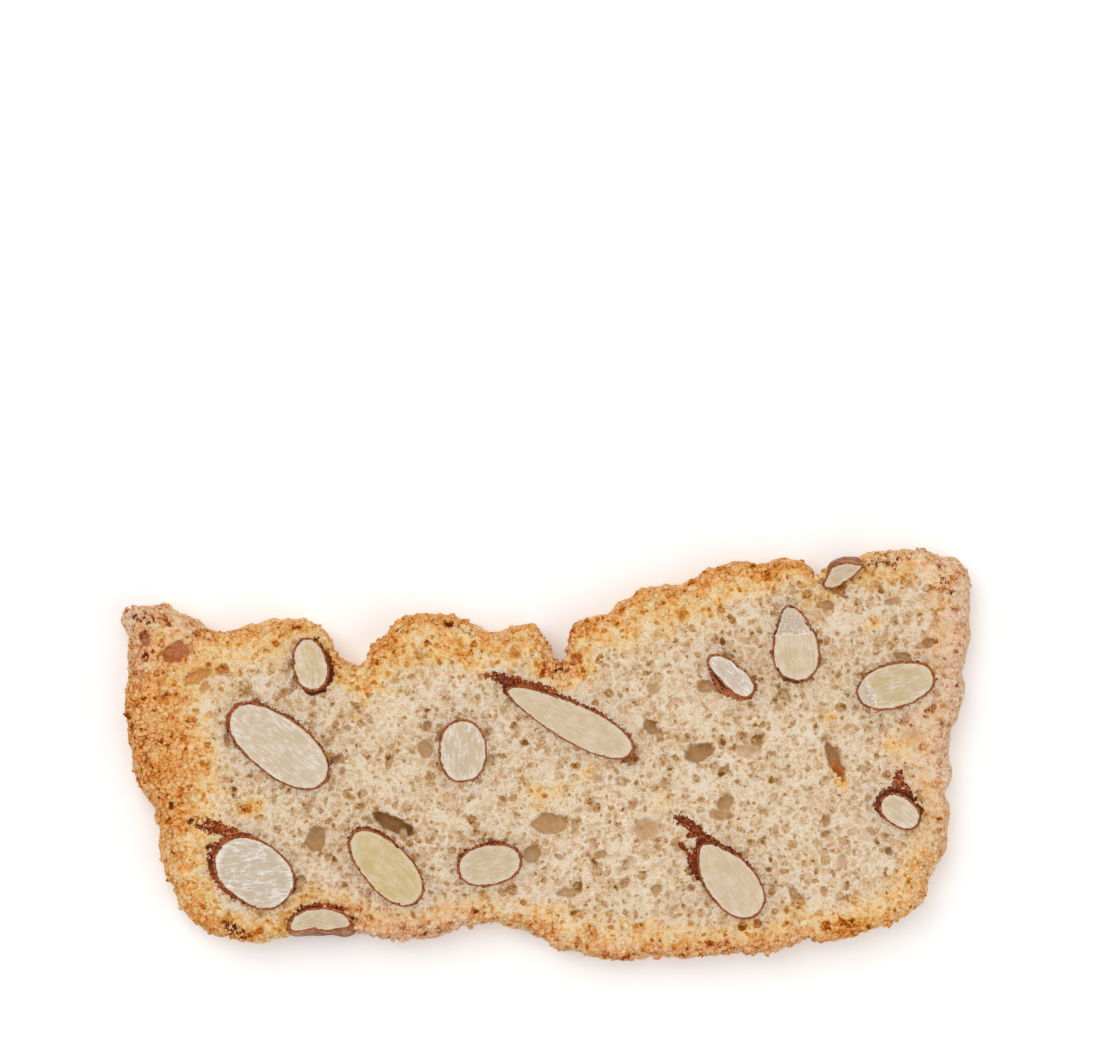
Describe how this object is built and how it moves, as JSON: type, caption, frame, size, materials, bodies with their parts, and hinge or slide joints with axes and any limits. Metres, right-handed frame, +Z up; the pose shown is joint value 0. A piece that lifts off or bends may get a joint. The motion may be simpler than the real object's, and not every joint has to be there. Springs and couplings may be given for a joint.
{
  "type": "almond wafer",
  "caption": "Thin toasted slice of almond loaf: open pale crumb, browned crust round the edge and almonds cut through, flush with the face.",
  "frame": {"origin": "middle of the underside of the slice, which is the back cut face it lies on", "axes": "+X along the slice towards its wide rounded end, +Y towards the domed top crust, +Z up out of the front cut face"},
  "size_m": [0.1558, 0.075, 0.0096],
  "materials": {
    "crumb": null,
    "almond": null
  },
  "bodies": {
    "root": {"crumb": "crumb", "almond_01": "almond", "almond_02": "almond", "almond_03": "almond", "almond_04": "almond", "almond_05": "almond", "almond_06": "almond", "almond_07": "almond", "almond_08": "almond", "almond_09": "almond", "almond_10": "almond", "almond_11": "almond", "almond_12": "almond", "almond_13": "almond", "almond_14": "almond"}
  },
  "joints": []
}
